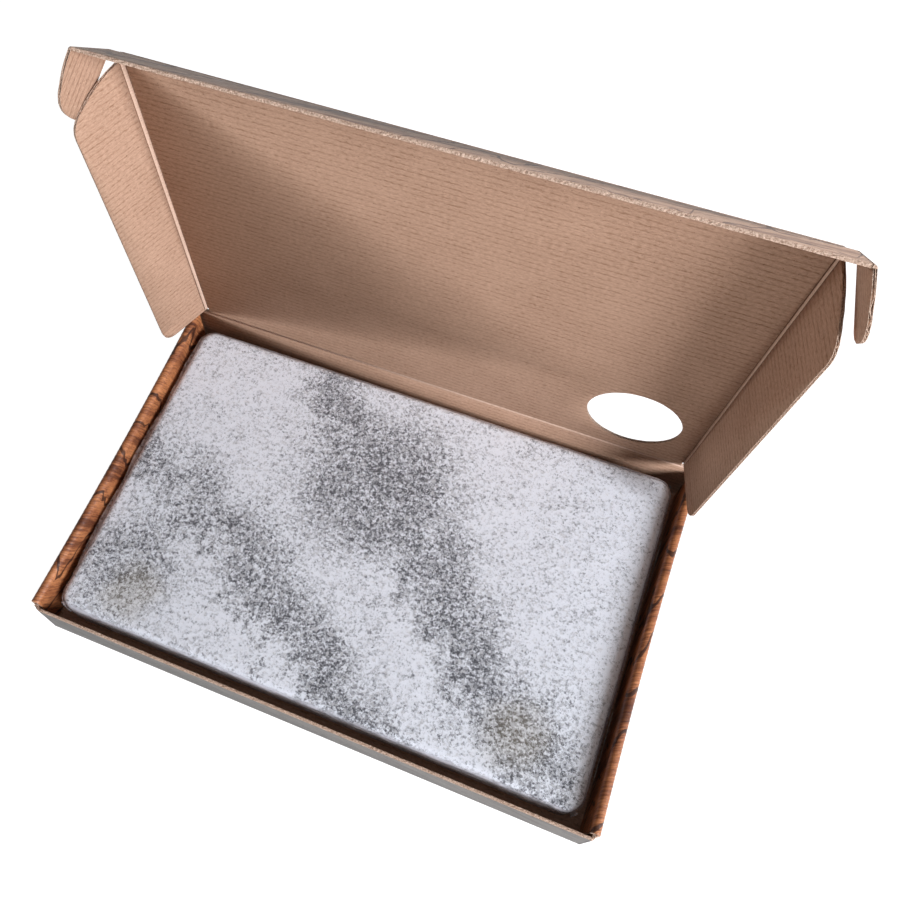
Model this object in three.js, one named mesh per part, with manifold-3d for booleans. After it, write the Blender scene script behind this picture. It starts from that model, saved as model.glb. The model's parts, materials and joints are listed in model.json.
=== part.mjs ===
// A film-wrapped rosin cake in a corrugated mailer box, shown with its lid open.
// Millimetres, +Z up. The origin is the middle of the tray's underside, +X runs along the hinge
// and +Y towards it. Every panel of the folded blank is its own solid, with its kraft face inwards.
import * as THREE from 'three';
import Module from 'manifold-3d';
import { mergeVertices } from 'three/addons/utils/BufferGeometryUtils.js';

const wasm = await Module();
wasm.setup();

// ---- driving sizes -------------------------------------------------------------------------
const trayWidth = 300;        // across the outer side walls
const trayDepth = 198;        // front face to back face
const trayHeight = 32;        // underside to the top of the rolled side walls
const frontWallDrop = 3;      // the front wall is this much lower, for the lid's front edge
const board = 1.4;            // thickness of the corrugated board
const gap = 0.3;              // clearance between panels that meet or lie side by side
const slip = board / 7;       // bare crease beside a panel, enough for it to bend back a little
const hingeRelief = 0.85;     // bare crease on each side of the lid hinge

const dustFlapLength = 62;    // corner flaps, hidden inside the double side walls
const dustFlapDrop = 1.0;     // how far their top stays below the roll
const rollSetback = 3.0;      // roll and side walls end this far behind the front and back faces
const tabLength = 36;         // lock tabs under the inner side walls
const tabSpacing = 100;       // between the two tabs of one wall
const tabTaper = 3;           // each end of a tab narrows by this towards its tip

const lidSetback = 8.3;       // the lid's panel is this much shorter than the tray
const creaseStrip = 2.2;      // board between the two lines of a double crease
const sideFlapWidth = 29.8;
const sideFlapHeel = 4.8;     // from the hinge to the flap's lower end
const toeSetback = 2.7;       // from the flap's upper end to the lid's first front crease
const heelRadius = 9;
const toeSlope = 21.5;        // how far the upper end slopes back, up to its rounded corner
const toeCornerWidth = 6;     // that corner, measured across the flap and along it
const toeCornerLength = 13;
const tuckRise = 4;           // the tuck flap is this much shorter than the tray is high
const earLength = 29;
const earHeel = 1.0;          // ear's straight edge, from the tuck flap's crease
const earNose = 15;           // reach of the ear where its curved edge turns to the tuck's edge
const earBow = 3;             // how far the ear's tip rounds outwards from a straight corner
const earSlip = 0.6;          // an ear turns as it slides in, so it has more clearance
const flapSlip = 0.5;         // between a folded side flap and the ear beside it
const holeRadius = 23.7;      // round hand hole in the lid
const holeFromMiddle = 105.7;
const holeFromHinge = 33.4;

const cakeSideRoom = 0.35;    // between the wrapped cake and a folded side flap
const cakeEndRoom = 15;       // the cake is this much shorter than the tray, front to back
const cakeHeight = 21.6;
const cakeOffset = 1;         // the cake lies a little nearer the back wall
const cakeCorner = 12;        // corner radius seen from above
const cakeEdge = 3.2;         // rounding of the upper and lower edges
const film = 0.2;             // wrapping film
const filmAir = 0.25;         // between the film and the cake, and between the cake and the tray
const gatherReach = 6;        // spare film at each corner, less what the rounded corner takes up
const gatherHeight = 15;

// ---- how far each crease is folded from flat, in degrees --------------------------------------
const lidOpen = 87;
const leftFlapFold = 66;
const rightFlapFold = 72;
const tuckFold = 46.5;
const leftEarFold = 72;
const rightEarFold = 68;

// ---- sizes that follow -----------------------------------------------------------------------
const outerFace = trayWidth / 2;
const innerFace = outerFace - 3 * board - 2 * gap;      // inside face of the double side walls
const backFace = trayDepth / 2;
const frontWallHeight = trayHeight - frontWallDrop;
const lidLength = trayDepth - lidSetback;               // hinge to the first front crease
const sideFlapToe = lidLength - toeSetback;             // hinge to the flap's upper end
const tuckHeight = trayHeight - tuckRise;
const rollRadius = (outerFace - innerFace) / 2;
const wallTop = trayHeight - rollRadius - gap;          // where the flat side walls end
const rollLength = trayDepth - 2 * rollSetback;
const hingeHeight = trayHeight + gap + board / 2;
const earCrease = innerFace - earSlip - board;          // kraft side of an ear folded square
const sideCrease = earCrease - flapSlip - board;        // the same for a folded side flap
const closedSpring = THREE.MathUtils.degToRad(12);      // side creases bend back this far when shut
const lidCrease = sideCrease - creaseStrip * Math.cos(closedSpring);
const cakeLength = 2 * (sideCrease - cakeSideRoom - film - filmAir);
const cakeWidth = trayDepth - cakeEndRoom;
const cakeBottom = board + gap + film + filmAir;

// ---- materials -------------------------------------------------------------------------------
const finish = (color, roughness, metalness = 0) => (
  new THREE.MeshStandardMaterial({ color, roughness, metalness })
);
const kraft = finish(0xa5826b, 0.9);
const paleKraft = finish(0xd3b096, 0.9);
const woodPrint = finish(0x7a3f22, 0.3);
const greyPrint = finish(0x79726b, 0.35);
const resin = finish(0xc4c8d2, 0.55);
const clearFilm = finish(0xe9edf2, 0.08);

// ---- shape helpers ---------------------------------------------------------------------------
const root = new THREE.Group();

function place(parent, name, geometry, material, position = [0, 0, 0], rotation = [0, 0, 0]) {
  const mesh = new THREE.Mesh(geometry, material);
  mesh.name = name;
  mesh.position.set(...position);
  mesh.rotation.set(...rotation);
  parent.add(mesh);
  return mesh;
}

function nest(parent, position, rotation) {
  const group = new THREE.Group();
  group.position.set(...position);
  group.rotation.set(...rotation.map(THREE.MathUtils.degToRad));
  parent.add(group);
  return group;
}

// A box between two corners.
function block([x0, y0, z0], [x1, y1, z1]) {
  const geometry = new THREE.BoxGeometry(x1 - x0, y1 - y0, z1 - z0);
  return geometry.translate((x0 + x1) / 2, (y0 + y1) / 2, (z0 + z1) / 2);
}

// A flat piece of board whose kraft face, z = 0, looks along +z.
function sheet(shape) {
  const options = { depth: board, bevelEnabled: false };
  return new THREE.ExtrudeGeometry(shape, options).translate(0, 0, -board);
}

function rectangle(x0, y0, x1, y1) {
  const shape = new THREE.Shape();
  shape.moveTo(x0, y0);
  shape.lineTo(x1, y0);
  shape.lineTo(x1, y1);
  shape.lineTo(x0, y1);
  shape.closePath();
  return shape;
}

function roundedRectangle(halfX, halfY, radius) {
  const shape = new THREE.Shape();
  shape.moveTo(radius - halfX, -halfY);
  shape.lineTo(halfX - radius, -halfY);
  shape.absarc(halfX - radius, radius - halfY, radius, -Math.PI / 2, 0);
  shape.lineTo(halfX, halfY - radius);
  shape.absarc(halfX - radius, halfY - radius, radius, 0, Math.PI / 2);
  shape.lineTo(radius - halfX, halfY);
  shape.absarc(radius - halfX, halfY - radius, radius, Math.PI / 2, Math.PI);
  shape.lineTo(-halfX, radius - halfY);
  shape.absarc(radius - halfX, radius - halfY, radius, Math.PI, 1.5 * Math.PI);
  return shape;
}

// Only the positions are kept, so that corners which coincide can be merged.
function stripped(geometry) {
  const copy = geometry.clone();
  copy.deleteAttribute('normal');
  copy.deleteAttribute('uv');
  return copy;
}

// The same body on the other side of x = 0, with its triangles turned to face outwards again.
function mirrored(geometry) {
  const copy = mergeVertices(stripped(geometry)).scale(-1, 1, 1);
  copy.setIndex(Array.from(copy.index.array).reverse());
  return copy;
}

const sided = (side, geometry) => (side < 0 ? mirrored(geometry) : geometry);

function solidOf(geometry) {
  const merged = mergeVertices(stripped(geometry));
  return new wasm.Manifold(new wasm.Mesh({
    numProp: 3,
    vertProperties: new Float32Array(merged.attributes.position.array),
    triVerts: new Uint32Array(merged.index.array),
  }));
}

function geometryOf(solid) {
  const mesh = solid.getMesh();
  const geometry = new THREE.BufferGeometry();
  geometry.setAttribute('position', new THREE.BufferAttribute(mesh.vertProperties, 3));
  geometry.setIndex(new THREE.BufferAttribute(mesh.triVerts, 1));
  return geometry;
}

// ---- tray ------------------------------------------------------------------------------------
function addBase() {
  const halfX = outerFace - board - gap;
  const halfY = backFace - board - gap;
  const slotMiddle = innerFace + board / 2;
  const slotHalfX = board / 2 + gap;
  const slotHalfY = tabLength / 2 + gap;
  let base = solidOf(block([-halfX, -halfY, 0], [halfX, halfY, board]));
  for (const side of [-1, 1]) {
    for (const end of [-1, 1]) {
      const x = side * slotMiddle;
      const y = end * tabSpacing / 2;
      base = base.subtract(solidOf(block(
        [x - slotHalfX, y - slotHalfY, -board], [x + slotHalfX, y + slotHalfY, 2 * board],
      )));
    }
  }
  place(root, 'base_panel', geometryOf(base), kraft);
}

function addEndWalls() {
  const halfX = outerFace - board - gap;
  const front = block([-halfX, -backFace, 0], [halfX, board - backFace, frontWallHeight]);
  const backTop = hingeHeight - hingeRelief;
  const back = block([-halfX, backFace - board, 0], [halfX, backFace, backTop]);
  place(root, 'front_wall', front, greyPrint);
  place(root, 'back_wall', back, kraft);
}

// A corner flap of the front or back wall, folded back inside the double side wall.
function addDustFlap(name, side, end, top) {
  const outer = outerFace - board - gap;
  const start = backFace - board - gap;
  const nearX = side > 0 ? outer - board : -outer;
  const nearY = end > 0 ? start - dustFlapLength : -start;
  const flap = block(
    [nearX, nearY, board + gap], [nearX + board, nearY + dustFlapLength, top - dustFlapDrop],
  );
  place(root, name, flap, paleKraft);
}

function addSideWall(word, side) {
  const start = rollSetback - backFace;
  const outer = block([outerFace - board, start, 0], [outerFace, -start, wallTop]);
  place(root, `${word}_outer_wall`, sided(side, outer), woodPrint);

  const ring = new THREE.Shape();
  ring.absarc(0, 0, rollRadius, 0, Math.PI);
  ring.absarc(0, 0, rollRadius - board, Math.PI, 0, true);
  ring.closePath();
  const options = { depth: rollLength, bevelEnabled: false, curveSegments: 14 };
  const roll = new THREE.ExtrudeGeometry(ring, options);
  place(
    root, `${word}_top_roll`, roll, woodPrint,
    [side * (innerFace + rollRadius), rollLength / 2, trayHeight - rollRadius], [Math.PI / 2, 0, 0],
  );

  // The inner wall is drawn in (along the wall, height), with its two lock tabs below.
  const foot = board + gap;
  const tip = gap;
  const inner = new THREE.Shape();
  inner.moveTo(start, foot);
  for (const end of [-1, 1]) {
    const middle = end * tabSpacing / 2;
    inner.lineTo(middle - tabLength / 2, foot);
    inner.lineTo(middle - tabLength / 2 + tabTaper, tip);
    inner.lineTo(middle + tabLength / 2 - tabTaper, tip);
    inner.lineTo(middle + tabLength / 2, foot);
  }
  inner.lineTo(-start, foot);
  inner.lineTo(-start, wallTop);
  inner.lineTo(start, wallTop);
  inner.closePath();
  const near = side > 0 ? innerFace : -innerFace - board;
  place(
    root, `${word}_inner_wall`, sheet(inner), woodPrint,
    [near + board, 0, 0], [Math.PI / 2, Math.PI / 2, 0],
  );
}

// ---- lid -------------------------------------------------------------------------------------
function sideFlapShape() {
  const cornerTop = sideFlapToe - toeSlope;
  const cornerEnd = cornerTop - toeCornerLength;
  const shape = new THREE.Shape();
  shape.moveTo(slip, sideFlapHeel);
  shape.lineTo(sideFlapWidth - heelRadius, sideFlapHeel);
  shape.absarc(sideFlapWidth - heelRadius, sideFlapHeel + heelRadius, heelRadius, -Math.PI / 2, 0);
  shape.lineTo(sideFlapWidth, cornerEnd);
  shape.quadraticCurveTo(
    sideFlapWidth, cornerTop - toeCornerWidth, sideFlapWidth - toeCornerWidth, cornerTop,
  );
  shape.lineTo(slip, sideFlapToe);
  shape.closePath();
  return shape;
}

function earShape() {
  const top = tuckHeight - slip;
  const shape = new THREE.Shape();
  shape.moveTo(slip, earHeel);
  shape.lineTo(earLength - earBow, earHeel);
  shape.quadraticCurveTo(earLength, earHeel, earLength, earHeel + 2 * earBow);
  shape.quadraticCurveTo(earLength - earBow, top - 2 * earBow, earNose, top - earBow);
  shape.quadraticCurveTo(earNose / 2, top, slip, top);
  shape.closePath();
  return shape;
}

function addSideFlap(lid, word, side, fold) {
  const strip = nest(lid, [side * lidCrease, 0, board / 2], [0, -side * fold, 0]);
  const stripShape = rectangle(slip, sideFlapHeel, creaseStrip - slip, sideFlapToe);
  place(strip, `lid_${word}_crease`, sided(side, sheet(stripShape)), paleKraft);
  const flap = nest(strip, [side * creaseStrip, 0, 0], [0, 0, 0]);
  place(flap, `lid_${word}_flap`, sided(side, sheet(sideFlapShape())), paleKraft);
}

function addEar(tuck, word, side, fold) {
  const ear = nest(tuck, [side * earCrease, 0, 0], [0, -side * fold, 0]);
  place(ear, `${word}_ear`, sided(side, sheet(earShape())), paleKraft);
}

function addLid() {
  const lid = nest(root, [0, backFace - board / 2, hingeHeight], [180 - lidOpen, 0, 0]);
  const halfX = lidCrease - slip;
  const panel = rectangle(-halfX, hingeRelief, halfX, lidLength - slip);
  const hole = new THREE.Path();
  hole.absarc(holeFromMiddle, holeFromHinge, holeRadius, 0, 2 * Math.PI, true);
  panel.holes.push(hole);
  place(lid, 'lid_panel', sheet(panel), kraft, [0, 0, board / 2]);

  addSideFlap(lid, 'left', -1, leftFlapFold);
  addSideFlap(lid, 'right', 1, rightFlapFold);

  const strip = nest(lid, [0, lidLength, board / 2], [tuckFold, 0, 0]);
  const stripShape = rectangle(-halfX, slip, halfX, creaseStrip - slip);
  place(strip, 'lid_front_crease', sheet(stripShape), paleKraft);
  const tuck = nest(strip, [0, creaseStrip, 0], [0, 0, 0]);
  const tuckHalfX = earCrease - slip;
  const tuckShape = rectangle(-tuckHalfX, slip, tuckHalfX, tuckHeight);
  place(tuck, 'tuck_flap', sheet(tuckShape), greyPrint);
  addEar(tuck, 'left', -1, leftEarFold);
  addEar(tuck, 'right', 1, rightEarFold);
}

// ---- cake and wrapping -----------------------------------------------------------------------
// A slab with rounded corners and rounded edges; grow makes the same shape that much larger.
function slab(grow) {
  const halfX = cakeLength / 2 + grow;
  const halfY = cakeWidth / 2 + grow;
  const edge = cakeEdge + grow;
  const shape = roundedRectangle(halfX - edge, halfY - edge, cakeCorner + grow - edge);
  const height = cakeHeight + 2 * grow;
  const geometry = new THREE.ExtrudeGeometry(shape, {
    depth: height - 2 * edge,
    bevelEnabled: true,
    bevelThickness: edge,
    bevelSize: edge,
    bevelSegments: 4,
    curveSegments: 8,
  });
  return geometry.translate(0, 0, edge - grow);
}

function addCake() {
  const middle = [0, cakeOffset, cakeBottom];
  place(root, 'rosin_cake', slab(0), resin, middle);

  // The wrap is one skin round the cake, cut at half height where the two sheets overlap.
  const skin = solidOf(slab(filmAir + film)).subtract(solidOf(slab(filmAir)));
  const seam = cakeHeight / 2;
  const far = cakeLength;
  const above = solidOf(block([-far, -far, seam + gap / 2], [far, far, far]));
  const below = solidOf(block([-far, -far, -far], [far, far, seam - gap / 2]));
  place(root, 'film_upper_sheet', geometryOf(skin.intersect(above)), clearFilm, middle);
  place(root, 'film_lower_sheet', geometryOf(skin.intersect(below)), clearFilm, middle);

  // Spare film stands out from each corner as a thin fin.
  const inset = cakeCorner * (1 - Math.SQRT1_2);
  const start = filmAir + film + gap;
  for (const [endWord, end] of [['front', -1], ['back', 1]]) {
    for (const [sideWord, side] of [['left', -1], ['right', 1]]) {
      const fin = block([start, -film, 0], [start + gatherReach - inset, film, gatherHeight]);
      const corner = [
        side * (cakeLength / 2 - inset), end * (cakeWidth / 2 - inset) + cakeOffset,
        cakeBottom + (cakeHeight - gatherHeight) / 2,
      ];
      place(
        root, `film_gather_${endWord}_${sideWord}`, fin, clearFilm,
        corner, [0, 0, Math.atan2(end, side)],
      );
    }
  }
}

addBase();
addEndWalls();
for (const [word, side] of [['left', -1], ['right', 1]]) {
  addSideWall(word, side);
  addDustFlap(`front_${word}_dust_flap`, side, -1, frontWallHeight);
  addDustFlap(`back_${word}_dust_flap`, side, 1, wallTop);
}
addLid();
addCake();

export default root;
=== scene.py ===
# %% [markdown]
# # A wrapped rosin cake in its mailer box
#
# The box is folded from one sheet of thin corrugated board: plain brown kraft paper inside and a
# glossy wood-grain print outside. A flat pale slab lies in it, wrapped in clear film. The packed
# model gives the frame: where every panel is, and how it moves. Here each panel gets its real
# make-up, two paper liners with a wavy sheet between them, and each surface its own finish.

import json
import math

import bmesh
import bpy
from mathutils import Matrix, Vector, noise


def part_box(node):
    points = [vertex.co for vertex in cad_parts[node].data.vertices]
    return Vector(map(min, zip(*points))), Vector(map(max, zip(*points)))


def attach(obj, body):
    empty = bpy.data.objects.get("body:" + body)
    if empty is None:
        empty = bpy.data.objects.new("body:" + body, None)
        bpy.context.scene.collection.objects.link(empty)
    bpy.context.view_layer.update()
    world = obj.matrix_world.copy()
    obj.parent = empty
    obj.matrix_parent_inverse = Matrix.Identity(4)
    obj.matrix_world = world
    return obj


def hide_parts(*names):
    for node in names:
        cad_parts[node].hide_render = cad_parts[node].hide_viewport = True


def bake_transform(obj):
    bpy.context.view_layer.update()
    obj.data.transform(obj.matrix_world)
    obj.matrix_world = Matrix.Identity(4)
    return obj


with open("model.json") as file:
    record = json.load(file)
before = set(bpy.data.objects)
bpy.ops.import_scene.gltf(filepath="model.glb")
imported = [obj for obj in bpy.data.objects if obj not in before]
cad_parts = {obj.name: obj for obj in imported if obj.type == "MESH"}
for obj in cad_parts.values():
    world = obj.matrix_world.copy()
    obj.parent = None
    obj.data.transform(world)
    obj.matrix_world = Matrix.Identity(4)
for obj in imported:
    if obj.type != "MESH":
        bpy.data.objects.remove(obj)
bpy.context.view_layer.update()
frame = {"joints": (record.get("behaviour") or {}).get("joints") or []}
joint_places = {joint["name"]: joint.get("pos_m") for joint in frame["joints"]}
scene = bpy.context.scene

# %% [markdown]
# ## Camera
#
# The box is seen from above and a little from the right, close enough that its far corners draw
# together. The lens is shifted sideways, which moves the box in the frame without turning the
# camera, so its upright edges keep their slant.

# %% Camera
camera_data = bpy.data.cameras.new("camera")
camera_data.sensor_width = 36.0
camera_data.lens = 36.698
camera_data.shift_x = 0.1361
camera_data.shift_y = 0.0317
camera = bpy.data.objects.new("camera", camera_data)
camera.location = (0.06505, -0.16039, 0.48016)
camera.rotation_mode = "QUATERNION"
camera.rotation_quaternion = (0.958677, 0.206291, 0.06374, 0.185258)
scene.collection.objects.link(camera)
scene.camera = camera
print("camera at", tuple(round(c, 3) for c in camera.location))

# %% [markdown]
# ## Writing a finish as a formula
#
# A finish is a network of shader nodes. Drawing it by hand is slow, so a small class wraps one
# output socket and lets it be added, multiplied and compared like a number. The Finish class
# makes any node from its type, its settings and what goes into its sockets.

# %% A socket that can be used in a formula
class Value:
    def __init__(self, finish, socket):
        self.finish = finish
        self.socket = socket

    def math(self, operation, *others):
        settings = {"operation": operation}
        return self.finish.node("Math", settings, dict(enumerate([self, *others])))

    def __add__(self, other):
        return self.math("ADD", other)

    def __sub__(self, other):
        return self.math("SUBTRACT", other)

    def __rsub__(self, other):
        return self.finish.node("Math", {"operation": "SUBTRACT"}, {0: other, 1: self})

    def __mul__(self, other):
        return self.math("MULTIPLY", other)

    def __pow__(self, other):
        return self.math("POWER", other)

    __radd__ = __add__
    __rmul__ = __mul__

    def between(self, low, high):
        """0 below low, 1 above high, with a smooth step between them."""
        settings = {"interpolation_type": "SMOOTHSTEP"}
        return self.finish.node("MapRange", settings, {0: self, 1: low, 2: high})


# %% A finish under construction
def tone(red, green, blue):
    """A colour as a paint chart gives it, 0 to 255, in the linear light that shaders use."""
    linear = [
        c / 12.92 if c <= 0.04045 else ((c + 0.055) / 1.055) ** 2.4
        for c in (red / 255, green / 255, blue / 255)
    ]
    return (*linear, 1.0)


class Finish:
    def __init__(self, name):
        self.material = bpy.data.materials.new(name)
        self.material.use_nodes = True
        self.tree = self.material.node_tree
        self.shader = self.tree.nodes["Principled BSDF"]

    def node(self, kind, settings=None, sockets=None, output=0):
        made = self.tree.nodes.new("ShaderNode" + kind)
        for key, setting in (settings or {}).items():
            setattr(made, key, setting)
        for key, value in (sockets or {}).items():
            self.put(made.inputs[key], value)
        return Value(self, made.outputs[output])

    def put(self, socket, value):
        if isinstance(value, Value):
            self.tree.links.new(value.socket, socket)
        else:
            socket.default_value = value

    def mix(self, amount, first, second):
        """Colour first where amount is 0 and colour second where it is 1."""
        settings = {"data_type": "RGBA"}
        return self.node("Mix", settings, {0: amount, 6: first, 7: second}, output=2)

    def stretched(self, place, x, y, z):
        settings = {"operation": "MULTIPLY"}
        return self.node("VectorMath", settings, {0: place, 1: (x, y, z)})

    def clouds(self, place, scale, detail=4.0, rough=0.5, swirl=0.0):
        sockets = {"Vector": place, "Scale": scale, "Detail": detail,
                   "Roughness": rough, "Distortion": swirl}
        return self.node("TexNoise", None, sockets)

    def surface(self, **sockets):
        for key, value in sockets.items():
            self.put(self.shader.inputs[key.replace("_", " ")], value)
        return self.material

    def relief(self, height, depth):
        """A bump whose height, 0 to 1, stands for that depth in metres."""
        return self.node("Bump", None, {"Height": height, "Distance": depth, "Strength": 1.0})


# %% [markdown]
# ## Kraft paper
#
# Unbleached kraft is a matt brown paper with long fibres. Glued over the wavy sheet it sinks a
# little between the waves, which shows as fine parallel lines, the washboard. The lines are a
# shallow bump, and their hollows are also painted darker, a painted shade. The lines come
# from the board's own coordinates, so they stay in line from panel to panel.

# %% Kraft liner
FLUTE = 0.00317  # one wave of the corrugated sheet


def board_place(finish):
    """Where a point is on the flat blank: along the waves, then across them, in metres."""
    return finish.node("UVMap", {"uv_map": "blank"})


def kraft_finish(name, colour, shade, lines=1.0):
    f = Finish(name)
    place = board_place(f)
    across = f.node("SeparateXYZ", None, {"Vector": place}, output=1)
    sway = f.clouds(f.stretched(place, 70.0, 260.0, 1.0), 1.0, 3.0, 0.6) - 0.5
    wave = ((across + sway * 0.0012) * (2 * math.pi / FLUTE)).math("SINE") * 0.5 + 0.5
    broken = f.clouds(f.stretched(place, 170.0, 500.0, 1.0), 1.0, 3.0, 0.6).between(0.35, 0.65)
    valley = wave ** 5 * (broken * 0.7 + 0.3)
    fibres = f.clouds(f.stretched(place, 520.0, 1300.0, 1.0), 1.0, 4.0, 0.7)
    blotches = f.clouds(place, 30.0, 3.0, 0.5)
    # Darker paper in the valleys is painted shade in the washboard's hollows.
    amount = (fibres - 0.5) * 1.5 + valley * (0.32 * lines) + (blotches - 0.5) * 0.35 + 0.3
    paper = f.mix(amount.between(-0.1, 1.1), colour, shade)
    specks = f.clouds(place, 900.0, 1.0, 0.5)
    paper = f.mix(specks.between(0.70, 0.74) * 0.5, paper, tone(84, 56, 38))
    paper = f.mix(1 - specks.between(0.24, 0.29), paper, colour)
    return f.surface(
        Base_Color=paper, Roughness=fibres * 0.15 + 0.78, Specular_IOR_Level=0.2,
        Normal=f.relief(fibres * 0.5 - valley * 0.5, 0.00016 * lines + 0.00006),
    )


kraft = kraft_finish("kraft_liner", tone(190, 154, 130), tone(126, 91, 67))
# A paler copy of the kraft for the crease strips and the hinge: a painted highlight along the
# folds.
strip_highlight_kraft = kraft_finish("lit_strip_kraft", tone(216, 184, 162), tone(160, 126, 104), 0.1)
# A darker copy of the kraft for the kraft faces inside the creases: painted shade in the folds.
fold_shade_kraft = kraft_finish("shaded_fold_kraft", tone(132, 98, 76), tone(92, 64, 48), 0.1)
print("kraft finishes:", kraft.name, strip_highlight_kraft.name, fold_shade_kraft.name)

# %% [markdown]
# ## Cut edges
#
# Where the die cut the board, torn fibres stand up and catch the light. The edge is paler than
# the flat paper and rough.

# %% Cut edge
def cut_edge_finish():
    f = Finish("cut_edge")
    place = f.node("TexCoord", None, None, output=3)
    fuzz = f.clouds(place, 1500.0, 4.0, 0.7)
    body = f.mix(fuzz.between(0.3, 0.7), tone(150, 118, 98), tone(226, 198, 176))
    return f.surface(
        Base_Color=body, Roughness=0.95, Specular_IOR_Level=0.15,
        Normal=f.relief(fuzz, 0.0004),
    )


cut_edge = cut_edge_finish()

# %% [markdown]
# ## Wood-grain print
#
# The outside of the board is printed with a glossy picture of an exotic wood: red-brown and
# orange streaks along the waves, crossed by nearly black veins. The ink lies flat, so the
# pattern is colour only, under a thin varnish that shows the washboard lines as faint ripples.

# %% Wood-grain print
def wood_print_finish(name, light, middle, dark, veins=1.0, gloss=0.3):
    f = Finish(name)
    place = board_place(f)
    along = f.node("SeparateXYZ", None, {"Vector": place}, output=0)
    across = f.node("SeparateXYZ", None, {"Vector": place}, output=1)
    bent = f.clouds(f.stretched(place, 30.0, 14.0, 1.0), 1.0, 3.0, 0.5) - 0.5
    slanted = f.node("CombineXYZ", None, {0: along, 1: across + along * 0.4 + bent * 0.01})
    streaks = f.clouds(f.stretched(slanted, 110.0, 1050.0, 1.0), 1.0, 5.0, 0.7)
    bands = f.clouds(f.stretched(slanted, 14.0, 95.0, 1.0), 1.0, 3.0, 0.6)
    wood = f.mix((streaks * 0.75 + bands * 0.6 - 0.17).between(0.3, 0.75), middle, light)
    wood = f.mix(streaks.between(0.52, 0.36) * 0.4, wood, dark)
    wood = f.mix(bands.between(0.46, 0.36) * 0.5, wood, dark)
    ring = (across + along * 0.9 + bent * 0.12) * (2 * math.pi / 0.027)
    width = f.clouds(f.stretched(place, 40.0, 22.0, 1.0), 1.0, 2.0, 0.5) * 0.12 + 0.89
    vein = (ring.math("SINE") * 0.5 + 0.5 - width) * 30.0
    wood = f.mix(vein.between(0.0, 1.0) * (0.85 * veins), wood, dark)
    ripple = (across * (2 * math.pi / FLUTE)).math("SINE") * 0.5 + 0.5
    dust = f.clouds(place, 1700.0, 2.0, 0.7)
    return f.surface(
        Base_Color=wood, Roughness=dust * 0.35 + gloss, Coat_Weight=0.2,
        Coat_Roughness=0.25, Normal=f.relief(ripple * 0.35 + dust * 0.65, 0.00022),
    )


wood_print = wood_print_finish(
    "wood_print", tone(200, 132, 84), tone(122, 64, 38), tone(44, 20, 14)
)
# The front wall and its corner bends get a dull grey copy of the wood print: painted shade and
# painted sheen, the glossy print seen edge-on and in shade.
front_shade_sheen_print = wood_print_finish(
    "shaded_sheen_front_print", tone(96, 90, 84), tone(70, 63, 58), tone(50, 38, 32), 0.3, 0.5
)
# The tuck flap and its creases get a paler, greyer copy of the wood print: painted sheen, the
# glossy print there catching the light.
tuck_sheen_print = wood_print_finish(
    "tuck_flap_sheen_print", tone(206, 168, 140), tone(168, 126, 98), tone(88, 54, 36), 0.9, 0.5
)
print("print finishes:", wood_print.name, front_shade_sheen_print.name, tuck_sheen_print.name)

# %% [markdown]
# ## Making a mesh
#
# Every piece is built from lists of corners and faces. One helper turns them into an object,
# rides it on its body, and hides the nodes of the frame that it stands for.

# %% From lists to a piece
def add_piece(name, corners, faces, materials, body=None, nodes=(),
              face_materials=None, blank=None, smooth=True):
    mesh = bpy.data.meshes.new(name)
    mesh.from_pydata([tuple(c) for c in corners], [], faces)
    for material in materials:
        mesh.materials.append(material)
    if face_materials:
        mesh.polygons.foreach_set("material_index", face_materials)
    layer = mesh.uv_layers.new(name="blank")
    if blank:
        flat = [c for loop in mesh.loops for c in blank[loop.vertex_index]]
        layer.data.foreach_set("uv", flat)
    mesh.polygons.foreach_set("use_smooth", [smooth] * len(mesh.polygons))
    mesh.update()
    piece = bpy.data.objects.new(name, mesh)
    scene.collection.objects.link(piece)
    if body:
        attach(piece, body)
    if nodes:
        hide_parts(*nodes)
    print(f"{name}: {len(mesh.polygons)} faces")
    return piece


# %% Faces that all look outwards
def face_outwards(piece):
    bm = bmesh.new()
    bm.from_mesh(piece.data)
    bmesh.ops.recalc_face_normals(bm, faces=bm.faces[:])
    bm.to_mesh(piece.data)
    bm.free()


# %% [markdown]
# ## Corrugated board
#
# The board is 1.4 mm thick: two liners 0.22 mm thick, and between them a sheet pressed into
# waves. A flat outline is first cut into rows across the waves, and the same rows then carry all
# three layers. A cut across the waves shows them, as it does on the real box.

# %% One panel of board
BOARD = 0.0014
LINER = 0.00022
MEDIUM = 0.00018
SINK = 0.00004  # how far a liner sinks between the waves
ROWS = 6        # rows to a wave


def flat_rows(outline, holes=()):
    """The flat outline as corners and faces, cut in rows that follow the waves."""
    bm = bmesh.new()
    for loop in (outline, *holes):
        ring = [bm.verts.new((x, y, 0)) for x, y in loop]
        for start, end in zip(ring, ring[1:] + ring[:1]):
            bm.edges.new((start, end))
    bmesh.ops.triangle_fill(bm, edges=bm.edges[:], use_beauty=False, normal=(0, 0, 1))
    lowest = min(y for _, y in outline)
    highest = max(y for _, y in outline)
    step = FLUTE / ROWS
    for row in range(math.ceil(lowest / step), math.ceil(highest / step)):
        everything = bm.verts[:] + bm.edges[:] + bm.faces[:]
        bmesh.ops.bisect_plane(bm, geom=everything, dist=1e-7, plane_co=(0, row * step, 0),
                               plane_no=(0, 1, 0))
    bm.verts.index_update()
    corners = [(v.co.x, v.co.y) for v in bm.verts]
    faces = [[v.index for v in face.verts] for face in bm.faces]
    rim = [[loop.vert.index, loop.link_loop_next.vert.index]
           for face in bm.faces for loop in face.loops if loop.edge.is_boundary]
    bm.free()
    return corners, faces, rim


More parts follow.
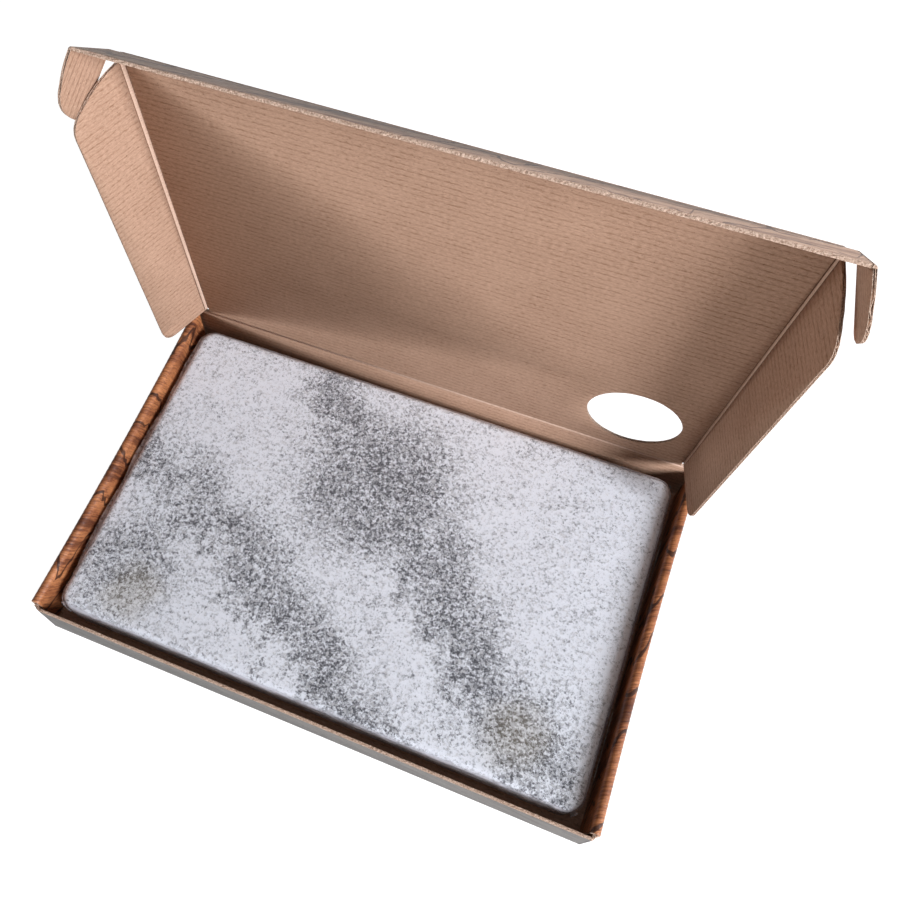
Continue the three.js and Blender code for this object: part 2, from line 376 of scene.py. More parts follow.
def board_piece(name, place, outline, body, nodes, outside, inside=None, holes=(),
                shift=(0.0, 0.0), top=0.0):
    """A panel whose kraft face is at local height top, with its print below."""
    inside = inside or kraft
    flat, flat_faces, rim = flat_rows(outline, holes)
    corners, faces, kinds, blank = [], [], [], []

    def layer(above, below, kind_above, kind_below):
        first = len(corners)
        for height in (above, below):
            for x, y in flat:
                local = Vector((x, y, top + height(y)))
                corners.append(place @ local)
                blank.append((x + shift[0], y + shift[1]))
        count = len(flat)
        for face in flat_faces:
            faces.append([first + i for i in face])
            kinds.append(kind_above)
            faces.append([first + count + i for i in reversed(face)])
            kinds.append(kind_below)
        for a, b in rim:
            faces.append([first + b, first + a, first + count + a, first + count + b])
            kinds.append(2)

    def wave(y):
        return math.cos(2 * math.pi * y / FLUTE)

    reach = BOARD / 2 - LINER - SINK - MEDIUM / 2
    layer(lambda y: SINK * (wave(y) - 1), lambda y: SINK * (wave(y) - 1) - LINER, 0, 2)
    layer(lambda y: -BOARD / 2 + reach * wave(y) + MEDIUM / 2,
          lambda y: -BOARD / 2 + reach * wave(y) - MEDIUM / 2, 2, 2)
    layer(lambda y: SINK * (1 + wave(y)) - BOARD + LINER,
          lambda y: SINK * (1 + wave(y)) - BOARD, 2, 1)
    return add_piece(name, corners, faces, [inside, outside, cut_edge], body, nodes,
                     kinds, blank)


# %% [markdown]
# ## Where the panels are
#
# The lid stands 87 degrees from shut. Each flap hangs from a crease on the panel before it, so
# its place is its parent's place, moved to the crease and turned about it. The creases' places
# come from the joints of the frame.

# %% Places of the panels
def turned(parent, joint, degrees, axis):
    pivot = parent.inverted() @ Vector(joint_places[joint])
    return parent @ Matrix.Translation(pivot) @ Matrix.Rotation(math.radians(degrees), 4, axis)


LID_OPEN = 87.0
FLAP_FOLD = {"left": 66.0, "right": 72.0}
TUCK_FOLD = 46.5
EAR_FOLD = {"left": 72.0, "right": 68.0}
SIDE = {"left": -1, "right": 1}

lid_place = turned(Matrix.Identity(4), "lid_hinge", 180.0 - LID_OPEN, "X")
strip_place = {}
flap_place = {}
ear_place = {}
for word, side in SIDE.items():
    strip_place[word] = turned(lid_place, f"{word}_flap_splay", -side * FLAP_FOLD[word], "Y")
    flap_place[word] = turned(strip_place[word], f"{word}_flap_fold", 0.0, "Y")
front_strip_place = turned(lid_place, "tuck_roll", TUCK_FOLD, "X")
tuck_place = turned(front_strip_place, "tuck_spring", 0.0, "X")
for word, side in SIDE.items():
    ear_place[word] = turned(tuck_place, f"{word}_ear_fold", -side * EAR_FOLD[word], "Y")

LID_CREASE = -(lid_place.inverted() @ Vector(joint_places["left_flap_splay"])).x
LID_LENGTH = (lid_place.inverted() @ Vector(joint_places["tuck_roll"])).y
EAR_CREASE = -(tuck_place.inverted() @ Vector(joint_places["left_ear_fold"])).x
print("lid", round(LID_CREASE * 2000, 1), "mm wide and", round(LID_LENGTH * 1000, 1), "mm long")

# %% [markdown]
# ## Outlines
#
# Straight edges need two corners and rounded ones a dozen. The die's outlines are drawn once,
# for the right side, and turned over for the left.

# %% Outline helpers
SLIP = 0.0002          # half the gap left at a crease
STRIP = 0.0022         # width of the strip between a double crease's two folds
HINGE_REACH = 0.00085  # half the width of the hinge's crease
HINGE_HALF = 0.1482    # half its length
FLAP_SPAN = (0.0048, 0.187)  # where the side creases start and end along the lid
EAR_SPAN = (0.001, 0.0278)   # where the ears' creases start and end up the tuck flap


def rectangle(x0, y0, x1, y1):
    return [(x0, y0), (x1, y0), (x1, y1), (x0, y1)]


def curve(start, bend, end, steps=8):
    """Points after start on the curve to end that leans towards bend."""
    points = []
    for i in range(1, steps + 1):
        t = i / steps
        points.append(tuple((1 - t) ** 2 * a + 2 * t * (1 - t) * b + t * t * c
                            for a, b, c in zip(start, bend, end)))
    return points


def sided(outline, side):
    return outline if side > 0 else [(-x, y) for x, y in reversed(outline)]


def mm(*points):
    return [(x / 1000, y / 1000) for x, y in points]


# %% Lid panel
hole_middle = (0.1057, 0.0334)
hole_radius = 0.0237
hole = [(hole_middle[0] + hole_radius * math.cos(2 * math.pi * i / 96),
         hole_middle[1] + hole_radius * math.sin(2 * math.pi * i / 96)) for i in range(96)]
lid_half = LID_CREASE - SLIP
lid_outline = rectangle(-lid_half, HINGE_REACH, lid_half, LID_LENGTH - SLIP)
board_piece("lid", lid_place, lid_outline, "lid", ["lid_panel"], wood_print,
            holes=[hole], top=BOARD / 2)

# %% Side flaps
flap_foot = mm((0.2, 4.8), (20.8, 4.8)) + curve(*mm((20.8, 4.8), (29.8, 4.8), (29.8, 13.8)))
flap_head = mm((29.8, 167)) + curve(*mm((29.8, 167), (29.8, 174), (24, 178)))
flap_head += mm((17.3, 182.2), (12.5, 184.6), (6.4, 186.8), (0.2, 188))
for word, side in SIDE.items():
    strip = sided(rectangle(SLIP, FLAP_SPAN[0], STRIP - SLIP, FLAP_SPAN[1]), side)
    # The crease strip's paler kraft is a painted highlight along the fold.
    board_piece(f"{word}_flap_crease_strip", strip_place[word], strip, f"{word}_crease",
                [f"lid_{word}_crease"], wood_print, strip_highlight_kraft,
                shift=(side * LID_CREASE, 0.0))
    board_piece(f"{word}_side_flap", flap_place[word], sided(flap_foot + flap_head, side),
                f"{word}_flap", [f"lid_{word}_flap"], wood_print,
                shift=(side * (LID_CREASE + STRIP), 0.0))

# %% Tuck flap and ears
TUCK_HEIGHT = 0.028
TORN = 0.0006  # the ragged fibres reach this far beyond the even part of the board
# The tuck's crease strip has the paler kraft too, a painted highlight along the fold.
# The tuck's paler print is painted sheen.
board_piece("tuck_crease_strip", front_strip_place,
            rectangle(-lid_half, SLIP, lid_half, STRIP - SLIP), "front_crease",
            ["lid_front_crease"], tuck_sheen_print, strip_highlight_kraft, shift=(0.0, LID_LENGTH))
tuck_half = EAR_CREASE - SLIP
board_piece("tuck", tuck_place, rectangle(-tuck_half, SLIP, tuck_half, TUCK_HEIGHT - TORN), "tuck",
            ["tuck_flap"], tuck_sheen_print, shift=(0.0, LID_LENGTH + STRIP))
ear_outline = mm((0.2, 1), (26, 1)) + curve(*mm((26, 1), (29, 1), (29, 7)))
ear_outline += curve(*mm((29, 7), (26, 21.8), (15, 24.8)))
ear_outline += curve(*mm((15, 24.8), (7.5, 27.8), (0.2, 27.8)))
for word, side in SIDE.items():
    board_piece(f"{word}_tuck_ear", ear_place[word], sided(ear_outline, side), f"{word}_ear",
                [f"{word}_ear"], wood_print,
                shift=(side * EAR_CREASE, LID_LENGTH + STRIP))

# %% [markdown]
# ## Creases
#
# At a crease the board is pressed flat and both liners run on round the bend. Each crease is a
# thin wedge: its edge lies on the kraft side, where the fold turns, and its back is an arc on
# the print side. It is turned step by step from one panel's angle to the other's, in the pose
# that they stand in here. One does not follow well yet: the right ear's crease stretches out of
# place when the lid shuts.

# %% Creases
def crease_piece(name, parent, joint, degrees, axis, sign, ends, outside,
                 near=0.0, far=-BOARD, reach=SLIP, steps=8, shift=(0.0, 0.0), inside=None):
    """ends is the crease's span along its axis. sign is the side that the child lies on."""
    pivot = parent.inverted() @ Vector(joint_places[joint])
    corners, faces, kinds, blank = [], [], [], []
    rows = []
    for i in range(steps + 1):
        share = i / steps
        turn = Matrix.Rotation(math.radians(degrees * share), 4, axis)
        offset = (2 * share - 1) * reach * sign
        pinch = 0.00012 * math.sin(math.pi * share)
        for height in (near - pinch, far + pinch * 0.5):
            for span in ends:
                local = (Vector((offset, span - pivot.y, height)) if axis == "Y"
                         else Vector((span - pivot.x, offset, height)))
                corners.append(parent @ (pivot + turn @ local))
                flat = (pivot.x + offset, span) if axis == "Y" else (span, pivot.y + offset)
                blank.append((flat[0] + shift[0], flat[1] + shift[1]))
        rows.append(len(corners) - 4)
    for a, b in zip(rows, rows[1:]):
        for first, second, kind in ((0, 1, 0), (2, 3, 1)):
            face = [a + first, a + second, b + second, b + first]
            faces.append(face if (kind == 0) == (sign > 0) else face[::-1])
            kinds.append(kind)
        faces.append([a, b, b + 2, a + 2])
        faces.append([a + 1, a + 3, b + 3, b + 1])
        kinds += [2, 2]
    faces += [[rows[0], rows[0] + 2, rows[0] + 3, rows[0] + 1],
              [rows[-1], rows[-1] + 1, rows[-1] + 3, rows[-1] + 2]]
    kinds += [2, 2]
    # Unless told otherwise, a crease's kraft face takes the darker kraft, painted shade in the
    # fold.
    piece = add_piece(name, corners, faces, [inside or fold_shade_kraft, outside, cut_edge],
                      face_materials=kinds, blank=blank)
    face_outwards(piece)

    def middle(row):
        return sum((Vector(corners[rows[row] + i]) for i in range(4)), Vector()) / 4

    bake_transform(piece)


for word, side in SIDE.items():
    crease_piece(f"{word}_inner_crease", lid_place, f"{word}_flap_splay",
                 -side * FLAP_FOLD[word], "Y", side, FLAP_SPAN,
                 wood_print)
    crease_piece(f"{word}_outer_crease", strip_place[word], f"{word}_flap_fold", 0.0, "Y",
                 side, FLAP_SPAN, wood_print,
                 shift=(side * LID_CREASE, 0.0))
    # The ear creases carry the tuck's painted sheen.
    crease_piece(f"{word}_ear_crease", tuck_place, f"{word}_ear_fold",
                 -side * EAR_FOLD[word], "Y", side, EAR_SPAN,
                 tuck_sheen_print, shift=(0.0, LID_LENGTH + STRIP))
# The tuck's creases carry its painted sheen.
crease_piece("tuck_inner_crease", lid_place, "tuck_roll", TUCK_FOLD, "X", 1,
             (-lid_half, lid_half), tuck_sheen_print)
crease_piece("tuck_outer_crease", front_strip_place, "tuck_spring", 0.0, "X", 1,
             (-lid_half, lid_half), tuck_sheen_print,
             shift=(0.0, LID_LENGTH))
# The hinge's kraft face is paler, a painted highlight along the fold.
crease_piece("hinge_crease", turned(Matrix.Identity(4), "lid_hinge", 90.0, "X"), "lid_hinge",
             90.0 - LID_OPEN, "X", 1, (-HINGE_HALF, HINGE_HALF), wood_print,
             near=BOARD / 2, far=-BOARD / 2, reach=HINGE_REACH, inside=strip_highlight_kraft)

# %% [markdown]
# ## Tray
#
# The tray's base, front and back walls are flat panels. Each side wall is one strip of board
# that rises, rolls over and comes down again inside, where two tabs lock into the base. Its
# print shows outside, over the roll and inside, so the whole strip is swept along one path.

# %% Base, front and back walls
FOOT = 0.0003             # the walls' lower ends clear what they stand on by this much
TAB_PLACE = 0.05          # the two tabs of a side wall, before and behind its middle
TAB_HALF = 0.018
SLOT_X = 0.1459
SLOT_HALF = (0.00076, 0.0181)

base_low, base_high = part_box("base_panel")
base_place = Matrix.Translation((0, 0, base_high.z))
slots = []
for side in (-1, 1):
    for end in (-1, 1):
        x, y = side * SLOT_X, end * TAB_PLACE
        slots.append(rectangle(x - SLOT_HALF[0], y - SLOT_HALF[1],
                               x + SLOT_HALF[0], y + SLOT_HALF[1])[::-1])
board_piece("base", base_place, rectangle(base_low.x, base_low.y, base_high.x, base_high.y),
            "tray", ["base_panel"], wood_print, holes=slots)

front_low, front_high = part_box("front_wall")
back_low, back_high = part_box("back_wall")
front_place = Matrix(((1, 0, 0, 0), (0, 0, 1, front_high.y), (0, 1, 0, 0), (0, 0, 0, 1)))
back_place = Matrix(((1, 0, 0, 0), (0, 0, -1, back_low.y), (0, 1, 0, 0), (0, 0, 0, 1)))
board_piece("back", back_place, rectangle(back_low.x, 0.0, back_high.x, back_high.z), "tray",
            ["back_wall"], wood_print)
BEND = {"left": 0.0044, "right": 0.0017}  # radius of the bend at each end of the front wall
front_ends = (front_low.x + BEND["left"], front_high.x - BEND["right"])
front_outline = rectangle(front_ends[0], 0.0, front_ends[1], front_high.z - TORN)
# The front wall's grey print is painted shade and sheen.
board_piece("front", front_place, front_outline, "tray", ["front_wall"],
            front_shade_sheen_print)

# %% Corner flaps between the double walls
for name in ("front_left", "front_right", "back_left", "back_right"):
    node = f"{name}_dust_flap"
    low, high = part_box(node)
    side = SIDE[name.split("_")[1]]
    face = low.x if side > 0 else high.x
    place = Matrix(((0, 0, -side, face), (1, 0, 0, 0), (0, 1, 0, 0), (0, 0, 0, 1)))
    board_piece(f"{name}_corner_flap", place, rectangle(low.y, low.z, high.y, high.z), "tray",
                [node], wood_print)

# %% Torn paper along a cut
FIBRE_STEP = 0.0007  # how far apart the points along a torn edge are
FIBRE_RISE = 0.0004  # how high an average fibre stands


def torn_edge(name, place, x0, x1, y, body, slot, shift=0.0):
    """Loose fibres along the cut at local height y: a low ragged ridge over its thickness."""
    corners, faces = [], []
    steps = int((x1 - x0) / FIBRE_STEP)
    profile = ((0.0001, -0.0003), (0.0001, 0.3), (-0.3, 1.0), (-0.65, 0.8), (-0.93, 0.3),
               (-0.98, -0.0003))
    for i in range(steps + 1):
        x = x0 + (x1 - x0) * i / steps
        for k, (depth, up) in enumerate(profile):
            ragged = 0.5 + noise.noise(Vector((x * 900, k * 0.8 + shift, 3.0)))
            ragged += 0.4 * noise.noise(Vector((x * 170, k * 0.5 + shift, 7.0)))
            height = up * FIBRE_RISE * max(ragged, 0.08) if up > 0 else up
            jog = noise.noise(Vector((x * 700, k * 1.7 + shift, 9.0))) * 0.00008
            deep = depth * BOARD if depth < 0 else depth
            corners.append(place @ Vector((x, y + height, deep + (jog if up > 0 else 0.0))))
    width = len(profile)
    for i in range(steps):
        for k in range(width - 1):
            a = i * width + k
            faces.append([a, a + 1, a + width + 1, a + width])
    add_piece(name, corners, faces, [cut_edge], body, (), smooth=False)


torn_edge("front_torn_edge", front_place, *front_ends, front_high.z - TORN, "tray",
          "printed_board")
torn_edge("tuck_torn_edge", tuck_place, -tuck_half, tuck_half, TUCK_HEIGHT - TORN, "tuck",
          "printed_board", shift=5.0)


# %% Bends round the front corners
def corner_bend(word, side):
    """The front wall's board runs on round the corner towards its corner flap."""
    radius = BEND[word]
    middle = Vector((side * (front_high.x - radius), front_low.y + radius, 0.0))
    corners, faces, kinds, blank = [], [], [], []
    steps = 12
    for i in range(steps + 1):
        a = math.pi / 2 * i / steps
        top = front_high.z - TORN / 2 - 0.0012 * i / steps
        for r in (radius, radius - BOARD):
            for z in (FOOT, top):
                corners.append((middle.x + side * math.sin(a) * r, middle.y - math.cos(a) * r, z))
                blank.append((front_high.x + a * radius, z))
    for i in range(steps):
        a = i * 4
        for quad, kind in (((0, 4, 5, 1), 1), ((2, 3, 7, 6), 0), ((1, 5, 7, 3), 2),
                           ((0, 2, 6, 4), 2)):
            face = [a + q for q in quad]
            faces.append(face if side > 0 else face[::-1])
            kinds.append(kind)
    # The bend's outside carries the front wall's painted shade and sheen.
    add_piece(f"front_{word}_corner_bend", corners, faces, [kraft, front_shade_sheen_print, cut_edge], "tray",
              (), kinds, blank)


for word, side in SIDE.items():
    corner_bend(word, side)

# %% Rolled side walls
BOW = 0.0013     # how far the middle of a side wall's top leans inwards
WALL_ROWS = 240


def rolled_wall(word, side):
    outer_low, outer_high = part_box(f"{word}_outer_wall")
    roll_low, roll_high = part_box(f"{word}_top_roll")
    radius = (roll_high.x - roll_low.x) / 2
    middle_x = (roll_high.x + roll_low.x) / 2
    middle_z = roll_high.z - radius
    path = [(middle_x + side * radius, z * middle_z / 8, side, 0.0) for z in range(8)]
    for i in range(13):
        a = math.pi * i / 12
        path.append((middle_x + side * radius * math.cos(a), middle_z + radius * math.sin(a),
                     side * math.cos(a), math.sin(a)))
    foot = base_high.z + FOOT
    path += [(middle_x - side * radius, middle_z + (foot - middle_z) * i / 8, -side, 0.0)
             for i in range(1, 9)]
    length = 0.0
    marks = [0.0]
    for a, b in zip(path, path[1:]):
        length += math.dist(a[:2], b[:2])
        marks.append(length)
    corners, faces, kinds, blank = [], [], [], []
    for r in range(WALL_ROWS + 1):
        y = outer_low.y + (outer_high.y - outer_low.y) * r / WALL_ROWS
        sink = SINK * (1 - math.cos(2 * math.pi * y / FLUTE))
        lean = BOW * (1 - (y / outer_high.y) ** 2) / roll_high.z
        for (x, z, nx, nz), mark in zip(path, marks):
            wobble = 0.0002 * noise.noise(Vector((y * 30, mark * 60, side))) * math.sin(
                math.pi * min(mark, 0.02) / 0.02) ** 2
            for depth in (sink + abs(wobble), BOARD - sink):
                corners.append((x - nx * depth - side * lean * z, y, z - nz * depth))
                blank.append((side * (0.15 + mark), y))
    across = 2 * len(path)
    for r in range(WALL_ROWS):
        for i in range(len(path) - 1):
            a = r * across + 2 * i
            faces.append([a, a + 2, a + across + 2, a + across])
            faces.append([a + 1, a + across + 1, a + across + 3, a + 3])
            kinds += [0, 1]
        for a in (r * across, r * across + across - 2):
            faces.append([a, a + 1, a + across + 1, a + across])
            kinds.append(2)
    for r in (0, WALL_ROWS):
        for i in range(len(path) - 1):
            a = r * across + 2 * i
            faces.append([a, a + 1, a + 3, a + 2])
            kinds.append(2)
    piece = add_piece(f"{word}_rolled_wall", corners, faces, [wood_print, kraft, cut_edge],
                      "tray", [f"{word}_outer_wall", f"{word}_top_roll", f"{word}_inner_wall"],
                      kinds, blank)
    face_outwards(piece)


for word, side in SIDE.items():
    rolled_wall(word, side)
    inner_low, inner_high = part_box(f"{word}_inner_wall")
    face = inner_high.x if side < 0 else inner_low.x
    place = Matrix(((0, 0, -side, face), (1, 0, 0, 0), (0, 1, 0, 0), (0, 0, 0, 1)))
    for end in (-TAB_PLACE, TAB_PLACE):
        tab = rectangle(end - TAB_HALF, FOOT, end + TAB_HALF, base_high.z + 0.0004)
        board_piece(f"{word}_lock_tab_{'front' if end < 0 else 'back'}", place, tab, "tray",
                    (), kraft, wood_print)

# %% [markdown]
# ## Cake
#
# The slab was poured and pressed: a flat top with a fine crystalline skin, and softly rounded
# edges and corners. A fine grid over its rounded box is pushed in and out by
# noise, so that the roughness is in the shape and not only in the finish.

# %% Cake finish
cake_low, cake_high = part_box("rosin_cake")


def cake_finish():
    f = Finish("crystalline_resin")
    place = f.node("TexCoord", None, None, output=3)
    across = f.node("SeparateXYZ", None, {"Vector": place}, output=0)
    far = f.node("SeparateXYZ", None, {"Vector": place}, output=1)
    swirl = f.clouds(place, 16.0, 5.0, 0.6) - 0.5
    fine = f.clouds(place, 75.0, 5.0, 0.7) - 0.5

    def band(offset, slope, width, low, high):
        """A cloudy band that runs from the back left to the front right, between two ends."""
        away = (far + across * slope - offset + swirl * 0.07 + fine * 0.08).math("ABSOLUTE")
        ends = (across + swirl * 0.05).between(low - 0.02, low + 0.02)
        ends = ends * (across + swirl * 0.05).between(high + 0.02, high - 0.02)
        return (1 - away.between(width * 0.15, width * 1.7)) * ends

    def patch(x, y, size):
        """A round cloud about a point, ragged at its edge."""
        away = f.node("VectorMath", {"operation": "DISTANCE"},
                      {0: place, 1: (x, y, cake_high.z)}, output=1)
        return 1 - (away + swirl * 0.03 + fine * 0.02).between(size * 0.3, size)

    clouds = band(0.032, 0.87, 0.026, -0.07, 0.14) * 0.8
    clouds = clouds.math("MAXIMUM", patch(-0.006, 0.036, 0.066) * 0.85)
    clouds = clouds.math("MAXIMUM", band(-0.068, 0.577, 0.022, -0.15, 0.05) * 0.75)
    clouds = clouds.math("MAXIMUM", patch(-0.12, -0.056, 0.045) * 0.65)
    clouds = clouds + (f.clouds(place, 40.0, 5.0, 0.7) - 0.45) * 0.8
    crust = f.clouds(place, 150.0, 4.0, 0.8) - 0.5
    flakes = f.node("TexVoronoi", None, {"Vector": place, "Scale": 900.0}, output=1)
    flake = f.node("SeparateXYZ", None, {"Vector": flakes}, output=0)
    grain = f.clouds(place, 430.0, 4.0, 0.9)
    amount = clouds * 0.82 + crust * 1.5 + (flake - 0.5) * 0.9 + (grain - 0.5) * 4.2 + 0.02
    stone = f.mix(amount.between(-0.1, 1.15), tone(246, 249, 254), tone(70, 72, 78))
    stain = patch(-0.107, -0.07, 0.02).math("MAXIMUM", patch(0.1, -0.065, 0.028))
    stone = f.mix(stain * 0.22, stone, tone(170, 152, 104))
    glints = (flake * 0.6 + grain * 0.4).between(0.70, 0.76)
    stone = f.mix(glints * 0.55, stone, tone(252, 253, 255))
    return f.surface(
        Base_Color=stone, Roughness=0.6 - glints * 0.3, Specular_IOR_Level=0.4,
        Normal=f.relief(grain * 0.7 + flake * 0.3, 0.0005),
    )


resin = cake_finish()

# %% Cake mesh
CAKE_CORNER = 0.0085  # radius of the slab's upright edges
CAKE_EDGE = 0.0034    # radius of its upper and lower edges
cake_middle = (cake_low + cake_high) / 2
cake_half = (cake_high - cake_low) / 2


def pillow(half, corner, edge, nx, ny, nz):
    """Corners and faces of a box with rounded corners and edges, as a fine grid."""
    bm = bmesh.new()
    bmesh.ops.create_cube(bm, size=2.0)
    for axis, cuts in ((0, nx), (1, ny), (2, nz)):
        for i in range(1, cuts):
            share = -1 + 2 * i / cuts
            co = [0, 0, 0]
            no = [0, 0, 0]
            co[axis] = share
            no[axis] = 1
            bmesh.ops.bisect_plane(bm, geom=bm.verts[:] + bm.edges[:] + bm.faces[:], dist=1e-6,
                                   plane_co=co, plane_no=no)
    for v in bm.verts:
        p = Vector((v.co.x * half.x, v.co.y * half.y, v.co.z * half.z))
        core = Vector((max(-half.x + corner, min(half.x - corner, p.x)),
                       max(-half.y + corner, min(half.y - corner, p.y)), 0))
        flat = Vector((p.x, p.y, 0)) - core
        if flat.length > 1e-9 and abs(p.x) > half.x - corner and abs(p.y) > half.y - corner:
            biggest = max(abs(flat.x), abs(flat.y))
            flat = flat.normalized() * biggest
        inset = max(flat.length - (corner - edge), 0.0)
        rise = max(abs(p.z) - (half.z - edge), 0.0)
        if inset > 0 and rise > 0:
            biggest = max(inset, rise)
            reach = math.hypot(inset, rise)
            inset, rise = inset * biggest / reach, rise * biggest / reach
            flat = flat.normalized() * (corner - edge + inset)
            p.z = math.copysign(half.z - edge + rise, p.z)
        v.co = Vector((core.x + flat.x, core.y + flat.y, p.z))
    bm.verts.index_update()
    return bm


def to_piece(bm, name, materials, body, nodes):
    corners = [v.co.copy() for v in bm.verts]
    faces = [[v.index for v in f.verts] for f in bm.faces]
    bm.free()
    add_piece(name, corners, faces, materials, body, nodes,
              blank=[(c.x, c.y) for c in corners])


def make_cake():
    bm = pillow(cake_half, CAKE_CORNER, CAKE_EDGE, 200, 132, 18)
    bm.normal_update()
    for v in bm.verts:
        p = v.co + cake_middle
        slow = noise.noise(p * 22.0) * 0.0003
        grit = noise.noise(p * 420.0) * 0.00014 + noise.noise(p * 900.0) * 0.0001
        v.co = p + v.normal * (slow + grit - 0.0004)
    to_piece(bm, "cake", [resin], "cake", ["rosin_cake"])


make_cake()

# %% [markdown]
# ## Clear film
#
# The wrap is a thin clear film shrunk round the slab. It is nearly invisible where it lies flat
# and shows at the edges, where it wrinkles and mirrors the light. It is a skin a fraction of a
# millimetre outside the slab, with fine creases that run out from the corners.

# %% Film finish
def film_finish():
    f = Finish("clear_film")
    place = f.node("TexCoord", None, None, output=3)
    ripple = f.clouds(f.stretched(place, 60.0, 60.0, 200.0), 1.0, 4.0, 0.6, 0.6)
    sheen_clouds = f.clouds(f.stretched(place, 90.0, 25.0, 60.0), 1.0, 3.0, 0.6)
    edge = f.node("LayerWeight", None, {"Blend": 0.3}, output=1)
    height = f.node("SeparateXYZ", None, {"Vector": place}, output=2)
    rim = height.between(cake_high.z + 0.0003, cake_high.z - 0.0016)
    # Painted reflection: the pale film turns more opaque along the slab's upper edges, in cloudy
    # patches, and at grazing angles, in place of the light it mirrors there.
    rim_sheen = rim * (sheen_clouds.between(0.36, 0.66) * 0.5 + 0.12)
    f.material.surface_render_method = "BLENDED"
    return f.surface(
        Base_Color=tone(236, 234, 238), Roughness=0.12, Alpha=edge * 0.4 + rim_sheen + 0.035,
        IOR=1.5, Normal=f.relief(ripple, 0.0016),
    )


clear_film = film_finish()


def make_film():
    low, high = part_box("film_lower_sheet")
    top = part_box("film_upper_sheet")[1]
    half = Vector(((high.x - low.x) / 2, (high.y - low.y) / 2, (top.z - low.z) / 2))
    middle = Vector(((high.x + low.x) / 2, (high.y + low.y) / 2, (top.z + low.z) / 2))
    bm = pillow(half, 0.0095, 0.0036, 190, 124, 16)
    bm.normal_update()
    for v in bm.verts:
        p = v.co + middle
        from_corner = Vector((half.x - abs(v.co.x), half.y - abs(v.co.y), 0)).length
        pleats = noise.noise(Vector((math.atan2(v.co.y, v.co.x) * 90, p.z * 200, 2.0)))
        near = max(0.0, 1 - from_corner / 0.05)
        wave = noise.noise(p * 55.0)
        v.co = p + v.normal * (0.0001 * wave + 0.00035 * near * pleats - 0.00025)
    to_piece(bm, "film_wrap", [clear_film], "cake", ["film_upper_sheet", "film_lower_sheet"])


make_film()

# %% [markdown]
# ## Film brim and gathers
#
# Where the wrap is loose it stands out from the slab as a wrinkled brim. It is widest on the left,
# where it still touches the side flap when the box is shut, and only a hint elsewhere, to leave
# the lid's flaps room. At the corners the spare film is pinched into pleats.

# %% Brim finish
def brim_finish():
    f = Finish("wrinkled_film")
    place = f.node("TexCoord", None, None, output=3)
    folds = f.clouds(place, 260.0, 4.0, 0.7, 0.8)
    f.material.surface_render_method = "BLENDED"
    # The brim is loose film; its pale, half-opaque colour, denser in the folds, is a painted
    # highlight of the light on the wrinkles.
    return f.surface(
        Base_Color=tone(224, 214, 212), Roughness=0.16,
        Alpha=folds.between(0.35, 0.65) * 0.5 + 0.2, IOR=1.5, Normal=f.relief(folds, 0.0012),
    )


brim_film = brim_finish()

# %% Brim
BRIM_WIDTH = 0.002
BRIM_COLUMNS = 6
BRIM_POINTS = 260  # points along the slab's length


def make_fringe():
    """Loose film that stands out round the slab, a rolled and wrinkled brim."""
    half = Vector((cake_half.x + 0.0003, cake_half.y + 0.0003))
    outline = []
    for qx, qy, start in ((1, 1, 0.0), (-1, 1, 90.0), (-1, -1, 180.0), (1, -1, 270.0)):
        for k in range(25):
            a = math.radians(start + 90.0 * k / 24)
            outward = Vector((math.cos(a), math.sin(a)))
            outline.append((Vector((qx * (half.x - CAKE_CORNER), qy * (half.y - CAKE_CORNER)))
                            + outward * CAKE_CORNER, outward))
    ring = []
    for (here, out), (there, _) in zip(outline, outline[1:] + outline[:1]):
        count = max(1, round((there - here).length * BRIM_POINTS / half.x / 2))
        ring += [(here.lerp(there, k / count), out) for k in range(count)]
    corners, faces = [], []
    for flat, out in ring:
        here = Vector((flat.x, flat.y, 0.0))
        loose = 0.16 + 0.84 * max(0.0, -flat.x / half.x) ** 6 * (1 - abs(out.y)) ** 0.5
        width = BRIM_WIDTH * loose * (1.0 + 0.6 * noise.noise(here * 60.0))
        low = 0.0055 + 0.003 * noise.noise(here * 25.0 + Vector((0, 0, 4)))
        for c in range(BRIM_COLUMNS + 1):
            share = c / BRIM_COLUMNS
            wrinkle = 0.0006 * share * noise.noise(here * 420.0 + Vector((0, 0, 9)))
            curl = math.sin(math.pi * share) * 0.0007
            p = cake_middle + Vector((flat.x, flat.y, 0.0)) + Vector((out.x, out.y, 0)) * (
                width * share)
            p.z = cake_high.z - low * (1 - 0.25 * share) + curl + wrinkle
            corners.append(p)
    for r in range(len(ring)):
        after = (r + 1) % len(ring)
        for c in range(BRIM_COLUMNS):
            a, b = r * (BRIM_COLUMNS + 1) + c, after * (BRIM_COLUMNS + 1) + c
            faces.append([a, a + 1, b + 1, b])
    add_piece("film_brim", corners, faces, [brim_film], "cake", ())


make_fringe()


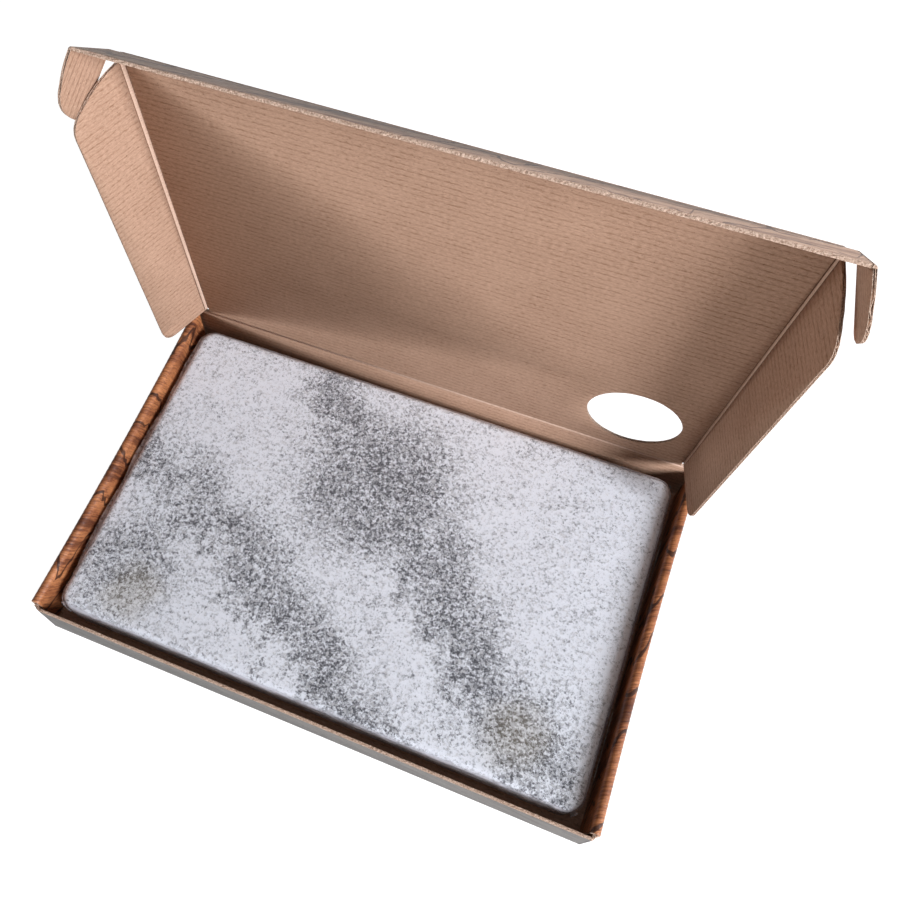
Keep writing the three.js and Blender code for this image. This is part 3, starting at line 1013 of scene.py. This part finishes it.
def make_gather(name):
    """Spare film pinched together at a corner: a small fan of pleats."""
    low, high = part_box(name)
    middle = (low + high) / 2
    out = Vector((math.copysign(1, middle.x), math.copysign(1, middle.y), 0)).normalized()
    aside = Vector((-out.y, out.x, 0))
    reach = (Vector((high.x - low.x, high.y - low.y, 0)).length) / 2
    corners, faces = [], []
    rows, columns = 16, 8
    for r in range(rows + 1):
        z = low.z + (high.z - low.z) * r / rows
        for c in range(columns + 1):
            share = c / columns
            fold = 0.0011 * share * math.sin(r * 1.9 + share * 2.2)
            along = reach * (share * 2 - 1) * (0.9 + 0.1 * math.sin(r * 2.3))
            corners.append(Vector((middle.x, middle.y, z)) + out * along + aside * fold)
    for r in range(rows):
        for c in range(columns):
            a = r * (columns + 1) + c
            faces.append([a, a + 1, a + columns + 2, a + columns + 1])
    add_piece(name + "_pleats", corners, faces, [clear_film], "cake", [name])


for end in ("front", "back"):
    for word in SIDE:
        make_gather(f"film_gather_{end}_{word}")

# %% [markdown]
# ## Floor and light
#
# The box stands on a plain white table. One big soft light stands at the right, so the left flap
# is bright, the lid's inside is in half shade and the right flap is dark.

# %% Floor
def floor():
    f = Finish("white_table")
    material = f.surface(Base_Color=(0.25, 0.25, 0.25, 1.0), Roughness=0.9,
                         Emission_Color=(1.0, 1.0, 1.0, 1.0), Emission_Strength=1.0)
    mesh = bpy.data.meshes.new("table")
    size = 3.0
    mesh.from_pydata([(-size, -size, 0), (size, -size, 0), (size, size, 0), (-size, size, 0)],
                     [], [(0, 1, 2, 3)])
    mesh.materials.append(material)
    table = bpy.data.objects.new("table", mesh)
    table.location.z = -0.0005
    scene.collection.objects.link(table)


floor()


# %% Lights
def area_light(name, place, target, size, watts, colour):
    data = bpy.data.lights.new(name, "AREA")
    data.shape = "DISK"
    data.size = size
    data.energy = watts
    data.color = colour
    light = bpy.data.objects.new(name, data)
    light.location = place
    direction = Vector(target) - Vector(place)
    light.rotation_mode = "QUATERNION"
    light.rotation_quaternion = direction.to_track_quat("-Z", "Y")
    scene.collection.objects.link(light)


area_light("window", (1.76, -0.84, 1.06), (0, 0, 0.08), 0.9, 70.0, (0.95, 1.0, 1.09))
area_light("ceiling", (0.1, -0.4, 1.3), (0, 0, 0.0), 1.2, 2.0, (0.92, 1.0, 1.12))
world = bpy.data.worlds.new("room")
world.use_nodes = True
world.node_tree.nodes["Background"].inputs[0].default_value = (1.0, 0.72, 0.5, 1.0)
world.node_tree.nodes["Background"].inputs[1].default_value = 0.1
scene.world = world
scene.view_settings.view_transform = "Standard"
